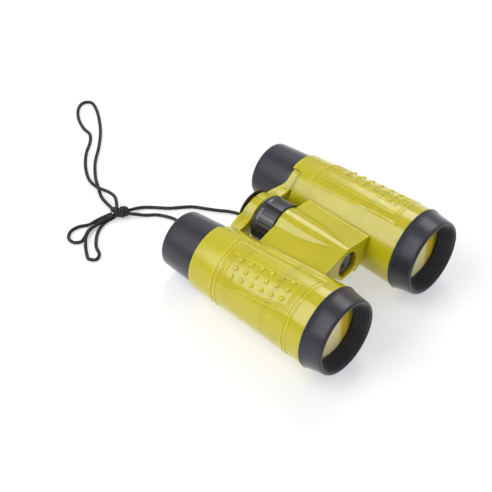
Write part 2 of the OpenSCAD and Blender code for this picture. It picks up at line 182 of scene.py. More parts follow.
def charcoal_plastic():
    """Fine satin dark plastic of the rings and eyecups, with a little dust."""
    m = Nodes("charcoal_plastic")
    cloud = m.noise(60.0, 4.0, 0.6)
    tone = m.ramp(cloud, [(0.3, (0.014, 0.014, 0.021)), (0.75, (0.023, 0.023, 0.033))])
    dust = m.ramp(m.noise(1500.0, 1.0, 0.3), [(0.74, (0, 0, 0)), (0.80, (1, 1, 1))])
    tone = m.mix(m.math("MULTIPLY", dust, 0.30), tone, (0.14, 0.14, 0.15))
    m.link(tone, "Base Color")
    m.link(m.math("ADD", m.math("MULTIPLY", m.noise(420.0, 3.0, 0.6), 0.14), 0.24), "Roughness")
    grain = m.noise(2600.0, 2.0, 0.6)
    m.link(m.bump(grain, 0.35, 0.00006), "Normal")
    m.set(IOR=1.48, Sheen_Weight=0.30, Sheen_Roughness=0.35)
    return m.mat


def inner_plastic():
    """Satin grey of the eyepiece tubes."""
    m = Nodes("inner_plastic")
    m.link(m.ramp(m.noise(90.0), [(0.3, (0.10, 0.10, 0.10)), (0.7, (0.14, 0.14, 0.14))]),
           "Base Color")
    m.link(m.bump(m.noise(900.0), 0.2, 0.00005), "Normal")
    m.set(Roughness=0.5)
    return m.mat


def wheel_plastic():
    """Polished black of the wheel and caps."""
    m = Nodes("wheel_plastic")
    m.link(m.ramp(m.noise(120.0), [(0.3, (0.020, 0.020, 0.023)), (0.7, (0.030, 0.030, 0.034))]),
           "Base Color")
    m.link(m.math("ADD", m.math("MULTIPLY", m.noise(500.0), 0.12), 0.12), "Roughness")
    m.link(m.bump(m.noise(1800.0), 0.15, 0.00002), "Normal")
    m.set(Coat_Weight=0.3, Coat_Roughness=0.1)
    return m.mat


def lens_glass():
    """Coated lens with painted light and shade: the lit barrel behind it and reflections painted
    cream, then amber and dark in shade towards its right edge.
    """
    m = Nodes("lens_glass")
    x = m.add("ShaderNodeSeparateXYZ", {"Vector": m.coords}).outputs[0]
    across = m.math("SUBTRACT", x, m.math("MULTIPLY", m.math("SIGN", x), AXIS_X * MM))
    # 0 at the lens's left edge to 1 at its right edge
    place = m.math("ADD", m.math("MULTIPLY", across, 33.0), 0.5, clamp=True)
    place = m.math("ADD", place, m.math("MULTIPLY", m.noise(60.0), 0.04))
    # painted light of the lit barrel and reflections, turning to painted shade at the right edge
    m.link(m.ramp(place, [(0.30, (0.93, 0.86, 0.50)), (0.66, (0.98, 0.88, 0.40)),
                          (0.73, (0.82, 0.58, 0.06)), (0.86, (0.72, 0.55, 0.03)),
                          (0.95, (0.32, 0.26, 0.02))]), "Base Color")
    m.set(Roughness=0.06, IOR=1.5, Alpha=0.86)
    return m.mat


def steel():
    """Brushed steel of the pin and washer."""
    m = Nodes("steel")
    m.link(m.ramp(m.noise(700.0), [(0.3, (0.50, 0.50, 0.51)), (0.7, (0.62, 0.62, 0.63))]),
           "Base Color")
    m.set(Metallic=1.0, Roughness=0.32)
    return m.mat


def cord_fibre():
    """Black fibre with painted highlight flecks where strands catch the light."""
    m = Nodes("cord_fibre")
    fine = m.noise(5200.0, 2.0, 0.7)
    dark = m.ramp(fine, [(0.3, (0.002, 0.002, 0.003)), (0.75, (0.009, 0.009, 0.012))])
    # painted highlight: pale flecks where the braid catches the light
    glint_fleck = m.ramp(m.noise(1300.0, 1.0, 0.3), [(0.56, (0, 0, 0)), (0.66, (1, 1, 1))])
    m.link(m.mix(m.math("MULTIPLY", glint_fleck, 0.5), dark, (0.09, 0.09, 0.11)), "Base Color")
    m.link(m.bump(fine, 0.5, 0.00008), "Normal")
    m.set(Roughness=0.7, Sheen_Weight=0.06, Sheen_Roughness=0.4)
    return m.mat


MATERIALS = {
    "barrel_plastic": barrel_plastic(), "charcoal_plastic": charcoal_plastic(),
    "inner_plastic": inner_plastic(), "wheel_plastic": wheel_plastic(), "lens": lens_glass(),
    "steel": steel(), "cord": cord_fibre(),
}


# ---------------------------------------------------------------- mesh helpers
MERGE_WITHIN = 1e-7             # metres
BEVEL_FROM_ANGLE = 30           # degrees


def piece(name, verts, faces, slot, body, replaces=(), smooth=35.0, bevel=0.0):
    """A mesh object in the resting frame, from vertices in metres, on a body of the frame."""
    mesh = bpy.data.meshes.new(name)
    mesh.from_pydata([tuple(v) for v in verts], [], [tuple(f) for f in faces])
    mesh.validate()
    mesh.update()
    ob = bpy.data.objects.new(name, mesh)
    bpy.context.scene.collection.objects.link(ob)
    ob.data.materials.append(MATERIALS[slot])
    tidy_normals(ob)
    mesh.polygons.foreach_set("use_smooth", [True] * len(mesh.polygons))
    mesh.set_sharp_from_angle(angle=math.radians(smooth))
    if bevel:
        mod = ob.modifiers.new("edges", "BEVEL")
        mod.width = bevel * MM
        mod.segments = 3
        mod.limit_method = "ANGLE"
        mod.angle_limit = math.radians(BEVEL_FROM_ANGLE)
        mod.harden_normals = True
    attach(ob, body)
    if replaces:
        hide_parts(*replaces)
    return ob


def lathe(profile, x=0.0, z=0.0, sides=128):
    """Closed profile of (radius, y) turned about the axis at x, z. Returns optical mm, faces."""
    pr = np.array(profile, float)
    n = len(pr)
    a = np.linspace(0, 2 * math.pi, sides, endpoint=False)
    verts = np.stack([x + pr[:, 0][:, None] * np.sin(a), np.repeat(pr[:, 1][:, None], sides, 1),
                      z + pr[:, 0][:, None] * np.cos(a)], -1).reshape(-1, 3)
    faces = [(i * sides + k, i * sides + (k + 1) % sides,
              (i + 1) % n * sides + (k + 1) % sides, (i + 1) % n * sides + k)
             for i in range(n) if pr[i, 0] + pr[(i + 1) % n, 0] > 0 for k in range(sides)]
    return verts, faces


def arc(cx, cz, r, a0, a1, n=16):
    """Points on a circle in the XZ plane, angles in degrees from +x."""
    return [(cx + r * math.cos(math.radians(a)), cz + r * math.sin(math.radians(a)))
            for a in np.linspace(a0, a1, n)]


def prism(outline, y0, y1, holes=()):
    """An XZ outline, with holes, extruded from y0 to y1. Returns optical mm, faces."""
    loops = [list(outline)] + [list(h) for h in holes]
    flat = [p for loop in loops for p in loop]
    n = len(flat)
    verts = [(x, y0, z) for x, z in flat] + [(x, y1, z) for x, z in flat]
    if holes:
        caps = tessellate_polygon([[Vector((x, z, 0)) for x, z in loop] for loop in loops])
    else:
        caps = [tuple(range(n))]
    faces = [tuple(f) for f in caps] + [tuple(n + i for i in reversed(f)) for f in caps]
    at = 0
    for loop in loops:
        m = len(loop)
        faces += [(at + i, n + at + i, n + at + (i + 1) % m, at + (i + 1) % m) for i in range(m)]
        at += m
    return np.array(verts), faces


def joined(parts):
    """Several (verts, faces) as one."""
    verts, faces, base = [], [], 0
    for v, f in parts:
        verts.append(np.asarray(v, float))
        faces += [tuple(base + i for i in q) for q in f]
        base += len(v)
    return np.vstack(verts), faces


def grid_solid(top, bottom):
    """A closed solid between two grids of points of the same shape."""
    a, b = top.shape[:2]
    verts = np.vstack([top.reshape(-1, 3), bottom.reshape(-1, 3)])
    n = a * b
    faces = []
    for i in range(a - 1):
        for j in range(b - 1):
            q = (i * b + j, (i + 1) * b + j, (i + 1) * b + j + 1, i * b + j + 1)
            faces += [q, tuple(n + k for k in reversed(q))]
    rim = ([(0, j) for j in range(b)] + [(i, b - 1) for i in range(1, a)]
           + [(a - 1, j) for j in range(b - 2, -1, -1)] + [(i, 0) for i in range(a - 2, 0, -1)])
    ids = [i * b + j for i, j in rim]
    faces += [(ids[k], ids[(k + 1) % len(ids)], n + ids[(k + 1) % len(ids)], n + ids[k])
              for k in range(len(ids))]
    return verts, faces


def tidy_normals(ob):
    """Joins points that lie on each other and makes the faces of each shell point outwards."""
    bm = bmesh.new()
    bm.from_mesh(ob.data)
    bmesh.ops.remove_doubles(bm, verts=bm.verts, dist=MERGE_WITHIN)
    bmesh.ops.recalc_face_normals(bm, faces=bm.faces)
    bm.to_mesh(ob.data)
    bm.free()


# ---------------------------------------------------------------- camera
CAMERA_AT = (-0.3569, -0.2772, 0.4996)
CAMERA_AZIMUTH, CAMERA_ELEVATION = -48.4, 46.69
SENSOR_WIDTH, FOCAL_LENGTH = 36.0, 97.79
camera_data = bpy.data.cameras.new("camera")
camera_data.sensor_width = SENSOR_WIDTH
camera_data.lens = FOCAL_LENGTH
camera = bpy.data.objects.new("camera", camera_data)
camera.location = CAMERA_AT
camera.rotation_euler = (math.radians(90 - CAMERA_ELEVATION), 0, math.radians(CAMERA_AZIMUTH))
bpy.context.scene.collection.objects.link(camera)
bpy.context.scene.camera = camera

# ---------------------------------------------------------------- cords
CORD_D = 1.8
KNOT_AT, KNOT_TURN = (-32.4, 99.2, 3.2), -48
# centre lines in the resting frame, in millimetres: the strands start in the strap eye and end
# in the knot, and the loops start and end in the knot
ROUTES = {
    "right_strand": [
        (0, 7.4, 11.8), (3.5, 8.4, 11.6), (6, 12, 11), (6.8, 18, 10), (7, 25, 9), (7, 32, 7.6),
        (7.4, 38.5, 5.2), (8.8, 44.5, 2.6), (10, 51, 1), (7.6, 57.5, 1), (4, 63, 1),
        (0.5, 69, 1), (-2.8, 74.6, 1), (-6.5, 78.4, 1), (-12, 83.5, 1), (-17, 90, 1),
        (-21.5, 94.6, 1.2), (-29.3, 97.4, 2.8)],
    "left_strand": [
        (0, 7.4, 11.8), (-3.5, 8.4, 11.6), (-5.5, 12, 11), (-6, 18, 10), (-6, 25, 9),
        (-5.4, 32, 7.6), (-4.6, 38.5, 5.2), (-3.8, 45, 2.6), (-4.2, 51.5, 1), (-7, 58, 1),
        (-11, 65, 1), (-15, 72, 1), (-16.4, 78, 1), (-19.5, 84.5, 1), (-24, 89.3, 1),
        (-30.5, 96.4, 2.6)],
    "long_loop": [
        (-32.4, 101, 3.4), (-26.5, 108.5, 2.9), (-25.6, 114, 2.8), (-27, 120.5, 2.9),
        (-26.3, 126.5, 2), (-23.5, 133, 1), (-18, 140.5, 1), (-11, 147, 1), (-4, 151.5, 1),
        (0.7, 156.5, 1), (2, 163, 1), (5.5, 170.5, 1), (11, 176.7, 1), (16.5, 178.7, 1),
        (20, 175.5, 1), (17.8, 169, 1), (12, 160.5, 1), (5, 152.5, 1), (-4, 144.7, 1),
        (-13, 138, 1), (-21, 129.5, 1), (-26, 122, 1), (-30, 115, 1), (-33.6, 102.4, 3.0)],
    "side_loop": [
        (-36, 101.4, 3.1), (-40.5, 103, 2.85), (-44.5, 104.2, 2.5), (-48.5, 106.2, 1),
        (-53, 109, 1), (-58, 109.6, 1), (-62, 106.8, 1), (-62.3, 102.8, 1), (-59.3, 100.3, 1),
        (-55.5, 101.4, 1), (-51, 103.3, 1), (-46, 103, 1), (-35.4, 101.2, 1.2)],
    "low_loop": [
        (-36, 100.2, 2.9), (-42, 101.5, 2.75), (-47, 102.3, 2.4), (-52, 101.9, 2.3),
        (-56.5, 99.7, 2.3), (-60.3, 96, 1.3), (-63.4, 92, 1), (-65.2, 88.6, 1), (-62.9, 85.5, 1),
        (-59.4, 86.9, 1), (-56.8, 91.8, 1), (-52.5, 96.2, 1), (-47.5, 99.4, 1),
        (-42, 100.9, 1), (-35.2, 100.2, 1)],
}


def smooth_path(points, step=0.18):
    """A Catmull-Rom curve through the points, resampled at an even step in millimetres."""
    p = np.array(points, float)
    p = np.vstack([2 * p[0] - p[1], p, 2 * p[-1] - p[-2]])
    fine = []
    for i in range(1, len(p) - 2):
        t = np.linspace(0, 1, 40, endpoint=False)[:, None]
        a, b, c, d = p[i - 1:i + 3]
        fine.append(0.5 * (2 * b + (c - a) * t + (2 * a - 5 * b + 4 * c - d) * t ** 2
                           + (3 * b - a - 3 * c + d) * t ** 3))
    fine = np.vstack(fine + [p[-2]])
    run = np.concatenate([[0], np.cumsum(np.linalg.norm(np.diff(fine, axis=0), axis=1))])
    count = max(4, int(round(run[-1] / step)))
    at = np.linspace(0, run[-1], count + 1)
    return np.stack([np.interp(at, run, fine[:, k]) for k in range(3)], -1)


def carried_frames(path, closed):
    """Two directions across the path at each point, carried along it without twisting."""
    t = np.roll(path, -1, 0) - np.roll(path, 1, 0) if closed else np.gradient(path, axis=0)
    t /= np.linalg.norm(t, axis=1)[:, None]
    side = np.cross(t[0], (0.31, 0.17, 0.93))
    sides = []
    for v in t:
        side = side - v * (side @ v)
        side /= np.linalg.norm(side)
        sides.append(side)
    s = np.array(sides)
    if closed:
        end = s[-1] - t[0] * (s[-1] @ t[0])
        twist = math.atan2(np.cross(end, s[0]) @ t[0], end @ s[0])
        a = np.linspace(0, twist, len(path))[:, None]
        s = s * np.cos(a) + np.cross(t, s) * np.sin(a)
    return s, np.cross(t, s)


def braided_tube(path, diameter, sides=32, closed=False, strands=8, lay=4.8):
    """A tube along the path whose skin is a two-way braid of flat strands."""
    n = len(path)
    s, u = carried_frames(path, closed)
    run = np.concatenate([[0], np.cumsum(np.linalg.norm(np.diff(path, axis=0), axis=1))])
    a = np.linspace(0, 2 * math.pi, sides, endpoint=False)
    turns = a[None, :] / (2 * math.pi)
    along = run[:, None] / lay
    over = np.cos(2 * math.pi * strands * turns) * np.cos(2 * math.pi * strands * along) > 0
    one = np.abs(np.sin(math.pi * strands * (turns + along))) ** 0.6 + 0.5 * over
    two = np.abs(np.sin(math.pi * strands * (turns - along))) ** 0.6 + 0.5 * ~over
    r = diameter / 2 * (0.86 + 0.14 * np.maximum(one, two) / 1.5)
    verts = (path[:, None, :] + r[..., None] * (np.cos(a)[None, :, None] * s[:, None, :]
                                                 + np.sin(a)[None, :, None] * u[:, None, :]))
    faces = [(i * sides + k, i * sides + (k + 1) % sides,
              (i + 1) % n * sides + (k + 1) % sides, (i + 1) % n * sides + k)
             for i in range(n if closed else n - 1) for k in range(sides)]
    if not closed:
        faces.append(tuple(range(sides)))
        faces.append(tuple((n - 1) * sides + k for k in reversed(range(sides))))
    return verts.reshape(-1, 3), faces


def knot_mesh():
    """An overhand knot pulled tight: a closed trefoil with turns of the cord wrapped over it."""
    t = np.linspace(0, 2 * math.pi, 200, endpoint=False)
    paths = [np.stack([1.5 * (np.sin(t) + 2 * np.sin(2 * t)), 0.7 * (np.cos(t) - 2 * np.cos(2 * t)),
                       -1.1 * np.sin(3 * t)], -1)]
    # each turn: place along the knot, lean, half width, half height
    for at, lean, wide, high in ((0.6, 0.7, 2.2, 2.0), (2.1, 0.6, 2.35, 2.1), (3.5, 0.2, 1.7, 1.6),
                                 (-2.3, -0.9, 1.9, 1.7)):
        a = np.linspace(0, 2 * math.pi, 80, endpoint=False)
        paths.append(np.stack([at + lean * np.cos(a), wide * np.cos(a), high * np.sin(a)], -1))
    turn = math.radians(KNOT_TURN)
    c, s = math.cos(turn), math.sin(turn)
    tubes = []
    for p in paths:
        p = np.stack([p[:, 0] * c - p[:, 1] * s, p[:, 0] * s + p[:, 1] * c, p[:, 2]], -1)
        tubes.append(braided_tube(p + np.array(KNOT_AT), CORD_D, closed=True))
    return joined(tubes)


knot_v, knot_f = knot_mesh()
knot = piece("knot", knot_v * MM, knot_f, "cord", "left_half", ["strap_knot"], smooth=60)
for route, points in ROUTES.items():
    path = smooth_path(points)
    v, f = braided_tube(path, CORD_D)
    ob = piece("cord_" + route, v * MM, f, "cord", "left_half", ["strap_" + route], smooth=60)

# ---------------------------------------------------------------- barrels
# angle outwards from the top, in degrees, and y
GRIP_DOTS = [(17.4 + 13.9 * r - 2.1 * i, 59.2 - 5.95 * i) for r in range(3) for i in range(6)]
# raised lines as (angle, y) points with a height and a half width: the two nested frames, the
# two borders of the panel, and the long line below the panel
GRIP_LINES = [
    ([(115, 69.3), (10, 69.4), (-27, 71), (-24, 46), (-23, 27), (-23.5, 18.3), (0, 19.5),
      (40, 20.7), (115, 21)], 0.40, 0.34),
    ([(115, 66.6), (0, 66.9), (-12, 67.3), (-12, 21.3), (20, 22.4), (45, 23), (115, 23.2)],
     0.40, 0.34),
    ([(12.4, 63.9), (63.6, 62.8), (40.3, 25.6), (4.5, 26.0), (12.4, 63.9)], 0.36, 0.22),
    ([(11.6, 65.3), (67.5, 64.9), (43.5, 24.4), (2.4, 24.6), (11.6, 65.3)], 0.36, 0.22),
    ([(67.4, 61.8), (57.6, 51.1), (53.1, 38.9), (49.1, 27), (48, 21.1)], 0.36, 0.25),
]
LINE_EDGE = 0.19                # width of a line's sloped edge
DOT_R, DOT_H = 1.2, 0.9


def line_distance(q, a, b):
    """Distance of the points q from the stretch a to b."""
    ab = b - a
    t = np.clip(((q - a) @ ab) / (ab @ ab), 0, 1)
    return np.linalg.norm(q - (a + t[..., None] * ab), axis=-1)


def relief(theta, y):
    """Height of the moulded relief over the barrel's cone, in mm."""
    r = barrel_r(y)
    q = np.stack([np.radians(theta) * r, y], -1)
    h = np.zeros_like(y)
    for line, height, width in GRIP_LINES:
        pts = np.array([(math.radians(t) * barrel_r(v), v) for t, v in line])
        d = np.min([line_distance(q, pts[i], pts[i + 1]) for i in range(len(pts) - 1)], axis=0)
        k = np.clip((width + LINE_EDGE - d) / LINE_EDGE, 0, 1)
        h = np.maximum(h, height * k * k * (3 - 2 * k))
    for t, v in GRIP_DOTS:
        d = np.hypot(q[..., 0] - math.radians(t) * barrel_r(v), q[..., 1] - v) / DOT_R
        h = np.maximum(h, DOT_H * np.sqrt(np.clip(1 - d ** 2, 0, 1)))
    return h


def spaced(stops, steps):
    """Grid values through the stops, with a step size for each stretch."""
    out = [stops[0]]
    for a, b, step in zip(stops, stops[1:], steps):
        n = max(1, int(round((b - a) / step)))
        out += list(np.linspace(a, b, n + 1)[1:])
    return np.array(out)


# the notch for the bridge arm, in degrees from the top, is cut from NOTCH_Y back; above the angle
# LIP_FROM a thin lip of the barrel's skin hides the front of it as far as LIP_Y
NOTCH = (-65.5, -18.5)
LIP_FROM = -53.5
NOTCH_Y, LIP_Y = 77.75, 79.1
LIP_R, BORE_R, SPIGOT_R, SHELL_WALL = 17.74, 16.7, 18.7, 1.6


def barrel(side):
    """The barrel wall: outer cone with relief, inner bore, and a notch for the arm's foot with a
    thin lip over its front."""
    thetas = spaced([-180, NOTCH[0], LIP_FROM, NOTCH[1], 80, 120, 180],
                    [5, 0.9, 0.9, 0.55, 2.0, 5])[:-1]
    ys = spaced([8.8, RING_LEN, 17.2, 72, NOTCH_Y, NOTCH_Y + 0.1, LIP_Y, 83.9, REAR_Y],
                [1.5, 0.9, 0.2, 0.8, 0.1, 1.1, 1.0, 0.2])
    T, Y = np.meshgrid(thetas, ys, indexing="ij")
    outer = barrel_r(Y) + relief(T, Y)
    outer = np.where(Y < RING_LEN - 0.1, SPIGOT_R, outer)
    outer = np.where(Y > REAR_Y - 0.1, outer - 0.25, outer)
    inner = np.where(Y < 14.5, 16.9, np.where(Y < 61, barrel_r(Y) - SHELL_WALL, BORE_R))
    lip = (T > LIP_FROM - 0.1) & (T < NOTCH[1] - 0.5) & (Y > NOTCH_Y + 0.05)
    inner = np.where(lip, LIP_R, inner)
    a = np.radians(T) * side
    outer_v = np.stack([side * AXIS_X + outer * np.sin(a), Y, outer * np.cos(a)], -1)
    inner_v = np.stack([side * AXIS_X + inner * np.sin(a), Y, inner * np.cos(a)], -1)
    nt, ny = T.shape
    verts = np.vstack([outer_v.reshape(-1, 3), inner_v.reshape(-1, 3)])
    base = nt * ny
    faces = []
    edges = set()       # open edges of the outer skin, later joined to the bore
    for i in range(nt):
        k = (i + 1) % nt
        middle = thetas[i] + 0.1
        for j in range(ny - 1):
            front = NOTCH_Y if middle < LIP_FROM else LIP_Y
            if NOTCH[0] < middle < NOTCH[1] and ys[j] > front - 0.01:
                continue
            o = (i * ny + j, k * ny + j, k * ny + j + 1, i * ny + j + 1)
            faces += [o, tuple(base + q for q in reversed(o))]
            for m in range(4):
                edge = (o[m], o[(m + 1) % 4])
                if edge[::-1] in edges:
                    edges.remove(edge[::-1])
                else:
                    edges.add(edge)
    faces += [(q, p, base + p, base + q) for p, q in sorted(edges)]
    used = sorted({v for f in faces for v in f})
    index = {v: n for n, v in enumerate(used)}
    faces = [tuple(index[v] for v in f) for f in faces]
    name = HALVES[side]
    piece(name + "_barrel_shell", row(verts[used]), faces, "barrel_plastic", name + "_half",
          [name + "_barrel"], smooth=50)


barrel(-1)
barrel(1)

# ---------------------------------------------------------------- hood and hinge housing
HOOD_Y = (26.5, 65.8)
HOOD_WALL = 1.3
# half width of the crest and its height over the roof, against y
CREST_EDGE = [(26.5, 0.5), (30, 2.6), (34, 3.9), (40, 5.2), (44.5, 6.4), (50, 7.2), (55, 7.6),
              (65.8, 8.0)]
CREST_RISE = [(26.5, 0.02), (34, 0.45), (45, 1.15), (65.8, 2.2)]


def roof_z(x):
    """Height of the low roof, which falls away from the middle to both sides."""
    return 15.75 - 0.2 * np.sqrt(x * x + 3.0)


def hood_z(x, y):
    """Top of the hood: a low roof with a crest that narrows towards the front."""
    roof = roof_z(x)
    half = np.interp(y, *zip(*CREST_EDGE))
    top = roof_z(0) + np.interp(y, *zip(*CREST_RISE))
    foot = roof_z(half) - 0.05
    crest = top - (top - foot) * (x / half) ** 2
    return 0.5 * (roof + crest + np.sqrt((roof - crest) ** 2 + 0.04))


def meets_barrel(side, y, r):
    """x where the roof line reaches radius r about a barrel's axis."""
    x = np.full_like(y, side * 18.0)
    for _ in range(30):
        z = roof_z(x)
        x = side * (AXIS_X - np.sqrt(np.maximum(r ** 2 - z ** 2, 1.0)))
    return x


def hood():
    """The hood's sheet, from one barrel to the other at every y."""
    ys = np.linspace(*HOOD_Y, 80)
    left = meets_barrel(-1, ys, barrel_r(ys) - 1.0)
    right = meets_barrel(1, ys, barrel_r(ys) + 0.12)
    s = np.linspace(0, 1, 110)
    X = left[:, None] + (right - left)[:, None] * s[None, :]
    Y = np.repeat(ys[:, None], len(s), 1)
    Z = hood_z(X, Y)
    under = np.minimum(Z - HOOD_WALL, roof_z(X) - HOOD_WALL + 0.6 * (Z - roof_z(X)))
    inset = X - 0.06 * HOOD_WALL * (X > 0) * s[None, :]
    return grid_solid(np.stack([X, Y, Z], -1), np.stack([inset, Y, under], -1))


v, f = hood()
piece("hood", row(v), f, "barrel_plastic", "left_half", ["left_barrel"], smooth=40, bevel=0.35)

PIN_BORE, OPENING_R, KNUCKLE_R = 2.42, 6.9, 8.6
# outlines of the housing's two faces and the opening and hole in them, as (x, z)
FRONT_FACE = [(-18.0, 11.9), (-9.0, 13.3), (-2.5, 14.4), (2.5, 14.4), (6.9, 13.7), (8.2, 8.2),
              (8.55, 5.6), (8.2, 3.0), (7.0, 0.6), (5.4, -1.1), (3.4, -2.0), (-4.5, -2.0),
              (-7.4, 0.9), (-9.9, 3.9), (-13.6, 6.4)]
REAR_FACE = [(-19.5, 11.2), (-3, 14.4), (0, 14.4), (6, 11.5), (8.55, 5.6), (6.0, -0.5), (0, -3.0),
             (-4, -2.0), (-13, 0.0), (-20, 1.0)]
OPENING = arc(0, HINGE_Z, OPENING_R, 0, 360, 65)[:-1]
PIN_HOLE = arc(0, HINGE_Z, PIN_BORE, 0, 360, 25)[:-1]


def tube(bore, r, y0, y1, x=0.0, z=HINGE_Z, sides=96):
    """A plain tube along y."""
    return lathe([(bore, y0), (r, y0), (r, y1), (bore, y1)], x, z, sides)


def strap_eye():
    """The ring under the housing that the cord goes through, with its hole along x."""
    at_y, at_z, half = 60.4, -7.2, 1.5
    ring, hole = ([(at_y + r * math.cos(a), at_z + r * math.sin(a))
                   for a in np.linspace(0, 2 * math.pi, n, endpoint=False)]
                  for r, n in ((3.2, 48), (1.9, 32)))
    v, f = prism(ring, -half, half, [hole])
    return v[:, [1, 0, 2]], f


v, f = prism(FRONT_FACE, 26.5, 28.9, [OPENING])
piece("hinge_front", row(v), f, "barrel_plastic", "left_half", smooth=30, bevel=0.3)
# the front knuckle with its seat for the cap, the rear knuckle, the rear face, two webs to the
# barrel, and the strap eye on its stem
v, f = joined([
    lathe([(OPENING_R, 28.0), (KNUCKLE_R, 28.0), (KNUCKLE_R, 36.3), (PIN_BORE, 36.3),
           (PIN_BORE, 30.7), (OPENING_R, 30.7)], 0, HINGE_Z, 96),
    tube(PIN_BORE, KNUCKLE_R, 55.9, 65.2),
    prism(REAR_FACE, 62.8, 65.2, [PIN_HOLE]),
    prism([(-19, 4.5), (-6.5, 4.5), (-6.5, 1.5), (-19, 1.5)], 27.5, 36.3),
    prism([(-20, 4.5), (-6.5, 4.5), (-6.5, 1.5), (-20, 1.5)], 55.9, 65.0),
    strap_eye(), prism([(-1.5, -4.6), (1.5, -4.6), (1.5, -2.0), (-1.5, -2.0)], 58.2, 62.6),
])
piece("hinge_housing", row(v), f, "barrel_plastic", "left_half", smooth=30, bevel=0.3)

# the right half's wing beside the front face, and its lug between the knuckles
WING = ([(5.3, -4.0), (12.4, -0.9), (14.1, 2.9), (15.2, 8.0), (17.2, 11.4), (9.2, 12.8)]
        + arc(0, HINGE_Z, KNUCKLE_R + 0.35, 42, -56, 30))
v, f = joined([
    prism(WING, 26.6, 28.9), tube(PIN_BORE + 0.05, 7.4, 36.6, 55.6),
    prism([(7.0, 3), (16, 3), (16, 6), (7.0, 6)], 36.6, 55.6),
    prism([(9.2, 3), (16, 3), (16, 6), (9.2, 6)], 27.2, 37.6),
])
piece("hinge_wing", row(v), f, "barrel_plastic", "right_half", smooth=30, bevel=0.3)

# ---------------------------------------------------------------- bridge arms
HUB_R, SHELL_R, SCREW_BORE, TUBE_R = 8.0, 10.8, 4.47, 14.0
# about the barrel's axis: the foot's outside and inside, and the edge of the wall behind the notch
FOOT_R, FOOT_INNER_R, BEHIND_R = 17.66, 16.72, 18.15


def on_barrel_circle(r, theta):
    """A point at theta degrees inwards of the top of the left barrel."""
    a = math.radians(theta)
    return (-AXIS_X + r * math.sin(a), r * math.cos(a))


# how far back and forward the arm's skin reaches, against the distance from the hinge
ARM_BACK = [(0, 85.1), (5, 85.3), (9.2, 86.3), (11, 86.8), (13, 86.8), (16.4, 86.2), (19.2, 85.2),
            (20.5, 83.6), (22, 82.9)]
ARM_FRONT = [(0, 79.75), (12, 79.75), (19, 79.4), (21, 79.2)]


def arm(side, hub_y):
    """A bridge arm: skin over the hub, bar to the barrel, foot in the barrel's notch, a wall that
    closes the skin's back, the hub and the guide collar."""
    outer = arc(0, HINGE_Z, SHELL_R, 91.0, 148, 22)
    outer += [(-10.9, 10.75), (-13.0, 10.3), (-15.5, 10.1), (-17.6, 10.15)]
    outer += [on_barrel_circle(FOOT_R, t) for t in np.linspace(54, 19.6, 16)]
    inner = arc(0, HINGE_Z, HUB_R - 0.2, 91, 166, 22)
    inner += [(-9.4, 6.9), (-11.6, 6.6), (-14.0, 6.5), (-16.4, 6.7)]
    inner += [on_barrel_circle(FOOT_INNER_R, t) for t in np.linspace(64, 19.6, 16)]
    rings = []
    for (xo, zo), (xi, zi) in zip(outer, inner):
        y1 = np.interp(-xo, *zip(*ARM_BACK))
        y0 = np.interp(-xo, *zip(*ARM_FRONT))
        rings.append([(xo, y0, zo), (xo, y1, zo), (xi, y1, zi), (xi, y0, zi)])
    n = len(rings)
    faces = [(4 * i + k, 4 * i + (k + 1) % 4, 4 * i + 4 + (k + 1) % 4, 4 * i + 4 + k)
             for i in range(n - 1) for k in range(4)]
    faces += [(0, 1, 2, 3), tuple(4 * (n - 1) + k for k in (3, 2, 1, 0))]
    back = arc(0, HINGE_Z, SHELL_R - 0.5, 92, 148, 20) + [(-11.0, 10.2), (-13.0, 9.8), (-17.2, 9.6)]
    back += [on_barrel_circle(BEHIND_R, t) for t in (62, 70, 78, 86)]
    if side < 0:    # the left wall reaches lower; the right one has to clear the cord in a fold
        back += [on_barrel_circle(BEHIND_R, t) for t in (94, 102, 110, 118)]
        back += [(-9.0, -8.6), (-4.8, -3.6)] + arc(0, HINGE_Z, HUB_R + 0.2, 236, 92, 26)
    else:
        back += [(-12.0, -1.2)] + arc(0, HINGE_Z, HUB_R + 0.2, 216, 92, 24)
    v, f = joined([(np.array(rings).reshape(-1, 3), faces), prism(back, 83.9, 85.0),
                   tube(SCREW_BORE, HUB_R, *hub_y),
                   tube(TUBE_R + 0.03, BORE_R - 0.08, 75.8, 81.7, -AXIS_X, 0, 128)])
    v[:, 0] *= -side
    name = HALVES[side]
    piece(name + "_bridge_arm", row(v), f, "barrel_plastic", name + "_eyepiece",
          [name + "_arm"], smooth=32, bevel=0.35)


arm(-1, (80.1, 83.3))
arm(1, (83.5, 86.5))

# ---------------------------------------------------------------- rings, eyecups and lenses
MOUTH_R, LENS_SEAT_R, STEPS_IN_MOUTH = 17.6, 15.0, 6
# profiles as (radius, y)
RING_PROFILE = [
    (18.15, 0.45), (18.3, 0.14), (18.55, 0.0), (18.85, 0.03), (19.15, 0.16), (19.42, 0.42),
    (19.62, 0.8), (19.74, 1.3), (19.82, 1.9), (20.2, 4.9), (20.7, 8.2), (21.15, 10.3),
    (21.4, 10.9), (21.56, 11.15), (21.6, 11.35), (21.52, 11.58), (21.3, 11.7), (18.75, 11.7),
    (18.75, 8.7), (LENS_SEAT_R, 8.7), (LENS_SEAT_R, 7.95)]
EYECUP_PROFILE = [
    (14.03, 82.3), (16.2, 82.3), (16.36, 82.42), (16.4, 82.7), (16.4, 84.9), (16.33, 85.9),
    (16.0, 90.5), (15.6, 96.5), (15.2, 102.5), (15.05, 104.2), (14.9, 104.8), (14.6, 105.2),
    (14.2, 105.38), (13.6, 105.4), (13.1, 105.3), (12.75, 105.05), (12.5, 104.6), (11.4, 101.4),
    (10.4, 98.4), (9.7, 98.0), (9.7, 94.2), (8.8, 94.2), (8.8, 92.0), (14.03, 92.0)]


